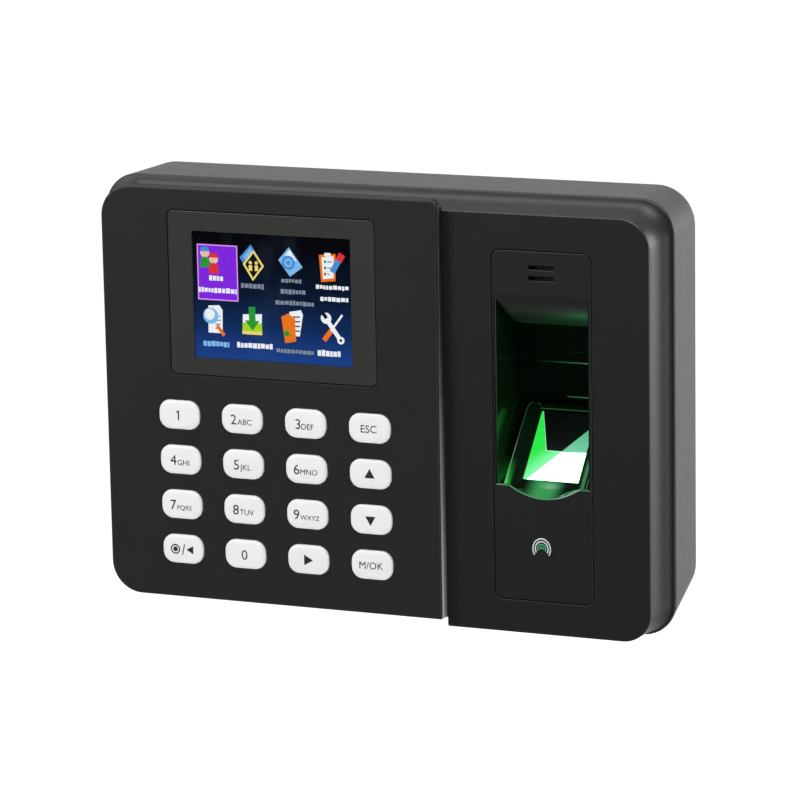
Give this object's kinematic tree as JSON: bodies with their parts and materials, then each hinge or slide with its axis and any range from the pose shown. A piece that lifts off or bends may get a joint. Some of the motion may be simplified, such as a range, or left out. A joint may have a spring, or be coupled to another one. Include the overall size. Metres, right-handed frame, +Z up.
{
  "type": "fingerprint scanner terminal",
  "caption": "Wall-mounted access terminal with a colour display, a keypad and a lit fingerprint bay with a tilted glass prism.",
  "frame": {"origin": "on the wall plane, at the middle of the wall plate's rear face behind the centre of the case", "axes": "+X to the right seen from the front, +Y from the front into the wall, +Z up"},
  "size_m": [0.2048, 0.0451, 0.1473],
  "materials": {
    "case_plastic": "fine matt texture, near-black",
    "bezel_plastic": "smooth satin black",
    "step_trim": "satin strip, dark at the top and pale at the bottom",
    "window": "smoked acrylic with a printed border",
    "screen": "lit colour display",
    "frame_white": "plain",
    "key_plastic": "satin off-white with dark printed marks",
    "mat_rubber": "silicone",
    "board": "solder mask",
    "prism_glass": "clear, lit green",
    "inner_black": "plain",
    "sheet_steel": "tinned sheet",
    "plate_steel": "zinc-plated sheet",
    "screw_steel": "zinc-plated",
    "cell_metal": "bright",
    "ribbon": "amber film"
  },
  "bodies": {
    "bracket": {"wall_plate": "plate_steel", "lock_screw": "screw_steel"},
    "terminal": {"rear_housing": "case_plastic", "port_plate": "case_plastic", "front_housing": "case_plastic", "keypad_panel": "case_plastic", "step_trim": "step_trim", "display_window": "window", "display_panel": "screen", "display_frame": "frame_white", "key_mat": "mat_rubber", "keypad_board": "board", "finger_bezel": "bezel_plastic", "finger_guide": "bezel_plastic", "finger_prism": "prism_glass", "sensor_housing": "inner_black", "sensor_light_board": "board", "camera_board": "board", "camera_lens": "inner_black", "speaker": "inner_black", "main_board": "board", "processor_shield": "sheet_steel", "clock_cell": "cell_metal", "network_socket": "sheet_steel", "usb_socket": "sheet_steel", "power_socket": "inner_black", "display_ribbon": "ribbon", "sensor_ribbon": "ribbon", "case_screw_1": "screw_steel", "case_screw_2": "screw_steel", "case_screw_3": "screw_steel", "case_screw_4": "screw_steel"},
    "button_1": {"key_1": "key_plastic"},
    "button_2": {"key_2": "key_plastic"},
    "button_3": {"key_3": "key_plastic"},
    "button_escape": {"key_escape": "key_plastic"},
    "button_4": {"key_4": "key_plastic"},
    "button_5": {"key_5": "key_plastic"},
    "button_6": {"key_6": "key_plastic"},
    "button_up": {"key_up": "key_plastic"},
    "button_7": {"key_7": "key_plastic"},
    "button_8": {"key_8": "key_plastic"},
    "button_9": {"key_9": "key_plastic"},
    "button_down": {"key_down": "key_plastic"},
    "button_back": {"key_back": "key_plastic"},
    "button_0": {"key_0": "key_plastic"},
    "button_right": {"key_right": "key_plastic"},
    "button_ok": {"key_ok": "key_plastic"}
  },
  "joints": [
    {"name": "terminal_lift", "type": "slide", "parent": "bracket", "child": "terminal", "axis": [0, 0, 1], "range_m": [0, 0.006]},
    {"name": "key_1_press", "type": "slide", "parent": "terminal", "child": "button_1", "axis": [0, 1, 0], "range_m": [0, 0.0008], "stiffness_N_per_m": 800, "springref_m": -0.0007},
    {"name": "key_2_press", "type": "slide", "parent": "terminal", "child": "button_2", "axis": [0, 1, 0], "range_m": [0, 0.0008], "stiffness_N_per_m": 800, "springref_m": -0.0007},
    {"name": "key_3_press", "type": "slide", "parent": "terminal", "child": "button_3", "axis": [0, 1, 0], "range_m": [0, 0.0008], "stiffness_N_per_m": 800, "springref_m": -0.0007},
    {"name": "key_escape_press", "type": "slide", "parent": "terminal", "child": "button_escape", "axis": [0, 1, 0], "range_m": [0, 0.0008], "stiffness_N_per_m": 800, "springref_m": -0.0007},
    {"name": "key_4_press", "type": "slide", "parent": "terminal", "child": "button_4", "axis": [0, 1, 0], "range_m": [0, 0.0008], "stiffness_N_per_m": 800, "springref_m": -0.0007},
    {"name": "key_5_press", "type": "slide", "parent": "terminal", "child": "button_5", "axis": [0, 1, 0], "range_m": [0, 0.0008], "stiffness_N_per_m": 800, "springref_m": -0.0007},
    {"name": "key_6_press", "type": "slide", "parent": "terminal", "child": "button_6", "axis": [0, 1, 0], "range_m": [0, 0.0008], "stiffness_N_per_m": 800, "springref_m": -0.0007},
    {"name": "key_up_press", "type": "slide", "parent": "terminal", "child": "button_up", "axis": [0, 1, 0], "range_m": [0, 0.0008], "stiffness_N_per_m": 800, "springref_m": -0.0007},
    {"name": "key_7_press", "type": "slide", "parent": "terminal", "child": "button_7", "axis": [0, 1, 0], "range_m": [0, 0.0008], "stiffness_N_per_m": 800, "springref_m": -0.0007},
    {"name": "key_8_press", "type": "slide", "parent": "terminal", "child": "button_8", "axis": [0, 1, 0], "range_m": [0, 0.0008], "stiffness_N_per_m": 800, "springref_m": -0.0007},
    {"name": "key_9_press", "type": "slide", "parent": "terminal", "child": "button_9", "axis": [0, 1, 0], "range_m": [0, 0.0008], "stiffness_N_per_m": 800, "springref_m": -0.0007},
    {"name": "key_down_press", "type": "slide", "parent": "terminal", "child": "button_down", "axis": [0, 1, 0], "range_m": [0, 0.0008], "stiffness_N_per_m": 800, "springref_m": -0.0007},
    {"name": "key_back_press", "type": "slide", "parent": "terminal", "child": "button_back", "axis": [0, 1, 0], "range_m": [0, 0.0008], "stiffness_N_per_m": 800, "springref_m": -0.0007},
    {"name": "key_0_press", "type": "slide", "parent": "terminal", "child": "button_0", "axis": [0, 1, 0], "range_m": [0, 0.0008], "stiffness_N_per_m": 800, "springref_m": -0.0007},
    {"name": "key_right_press", "type": "slide", "parent": "terminal", "child": "button_right", "axis": [0, 1, 0], "range_m": [0, 0.0008], "stiffness_N_per_m": 800, "springref_m": -0.0007},
    {"name": "key_ok_press", "type": "slide", "parent": "terminal", "child": "button_ok", "axis": [0, 1, 0], "range_m": [0, 0.0008], "stiffness_N_per_m": 800, "springref_m": -0.0007}
  ]
}
